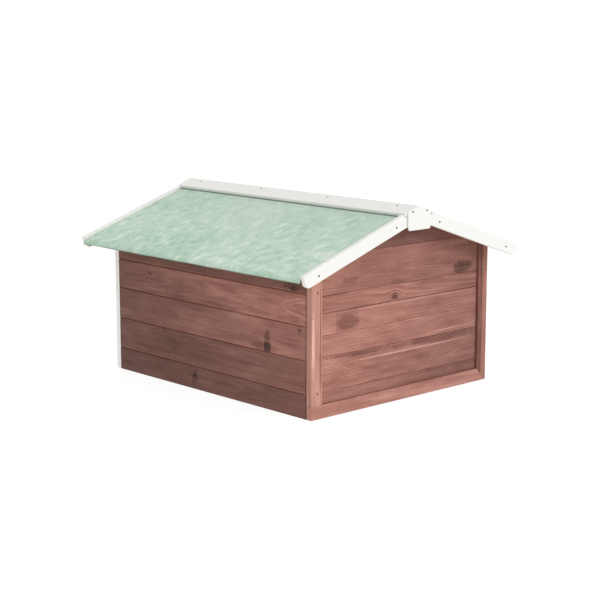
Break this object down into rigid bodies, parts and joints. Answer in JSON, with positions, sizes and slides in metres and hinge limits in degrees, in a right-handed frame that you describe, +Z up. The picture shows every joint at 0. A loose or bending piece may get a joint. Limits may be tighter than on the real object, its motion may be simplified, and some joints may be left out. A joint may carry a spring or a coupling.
{
  "type": "rabbit hutch",
  "caption": "Small timber hutch: boarded box with a wire-mesh front door under a felt-covered pitched roof that lifts as a hinged lid.",
  "frame": {"origin": "middle of the outline in plan (the roof's), at the underside of the walls", "axes": "+Z up; +Y towards the closed, boarded back gable, along the ridge; -Y towards the front door; +X towards the free long side of the lid, -X towards its hinge"},
  "size_m": [0.768, 0.8856, 0.4923],
  "materials": {
    "stained_pine": "red-brown stain, satin",
    "white_paint": "white paint, satin",
    "raw_pine": "unfinished planed pine",
    "roof_felt": "mineral roofing felt, matt",
    "zinc_steel": "bright zinc plate"
  },
  "bodies": {
    "house": {"back_board_1": "stained_pine", "back_board_2": "stained_pine", "back_board_3": "stained_pine", "back_board_4": "stained_pine", "back_board_5": "stained_pine", "back_board_6": "stained_pine", "back_board_7": "stained_pine", "back_bottom_rail": "stained_pine", "corner_batten_back_left": "raw_pine", "corner_batten_back_right": "raw_pine", "corner_batten_front_left": "raw_pine", "corner_batten_front_right": "raw_pine", "corner_post_back_left": "stained_pine", "corner_post_back_right": "stained_pine", "corner_post_front_left": "white_paint", "corner_post_front_right": "white_paint", "door_hinge_post_leaf_lower": "zinc_steel", "door_hinge_post_leaf_upper": "zinc_steel", "floor_bearer_back": "raw_pine", "floor_bearer_front": "raw_pine", "floor_panel": "raw_pine", "front_gable_board": "stained_pine", "front_lintel": "white_paint", "front_sill": "white_paint", "lid_hinge_wall_leaf": "zinc_steel", "lid_stay_peg": "zinc_steel", "side_board_left_1": "stained_pine", "side_board_left_2": "stained_pine", "side_board_left_3": "stained_pine", "side_board_left_4": "stained_pine", "side_board_left_5": "stained_pine", "side_board_right_1": "stained_pine", "side_board_right_2": "stained_pine", "side_board_right_3": "stained_pine", "side_board_right_4": "stained_pine", "side_board_right_5": "stained_pine"},
    "roof_lid": {"barge_board_back_left": "white_paint", "barge_board_back_right": "white_paint", "barge_board_front_left": "white_paint", "barge_board_front_right": "white_paint", "ridge_beam": "raw_pine", "ridge_cap_left": "white_paint", "ridge_cap_right": "white_paint", "ridge_plaque_back": "white_paint", "ridge_plaque_front": "white_paint", "roof_felt": "roof_felt", "roof_panel_left": "raw_pine", "roof_panel_right": "raw_pine", "lid_hinge_roof_leaf": "zinc_steel", "lid_stay_bracket": "zinc_steel"},
    "door": {"door_hinge_door_leaf_lower": "zinc_steel", "door_hinge_door_leaf_upper": "zinc_steel", "door_knob": "white_paint", "door_mesh": "zinc_steel", "door_rail_bottom": "white_paint", "door_rail_top": "white_paint", "door_stile_left": "white_paint", "door_stile_right": "white_paint"},
    "turn_button": {"door_turn_button": "white_paint"},
    "stay_arm": {"lid_stay_arm": "zinc_steel"}
  },
  "joints": [
    {"name": "lid_hinge", "type": "hinge", "parent": "house", "child": "roof_lid", "pos_m": [-0.3192, 0, 0.3608], "axis": [0, -1, 0], "range_deg": [0, 65]},
    {"name": "door_hinge", "type": "hinge", "parent": "house", "child": "door", "pos_m": [0.27875, -0.3817, 0.19], "axis": [0, 0, 1], "range_deg": [0, 110]},
    {"name": "turn_button_pivot", "type": "hinge", "parent": "house", "child": "turn_button", "pos_m": [-0.298, -0.382, 0.262], "axis": [0, -1, 0], "range_deg": [0, 90]},
    {"name": "stay_pivot", "type": "hinge", "parent": "roof_lid", "child": "stay_arm", "pos_m": [-0.13, 0.34, 0.41], "axis": [0, -1, 0], "range_deg": [-50, 50]}
  ]
}
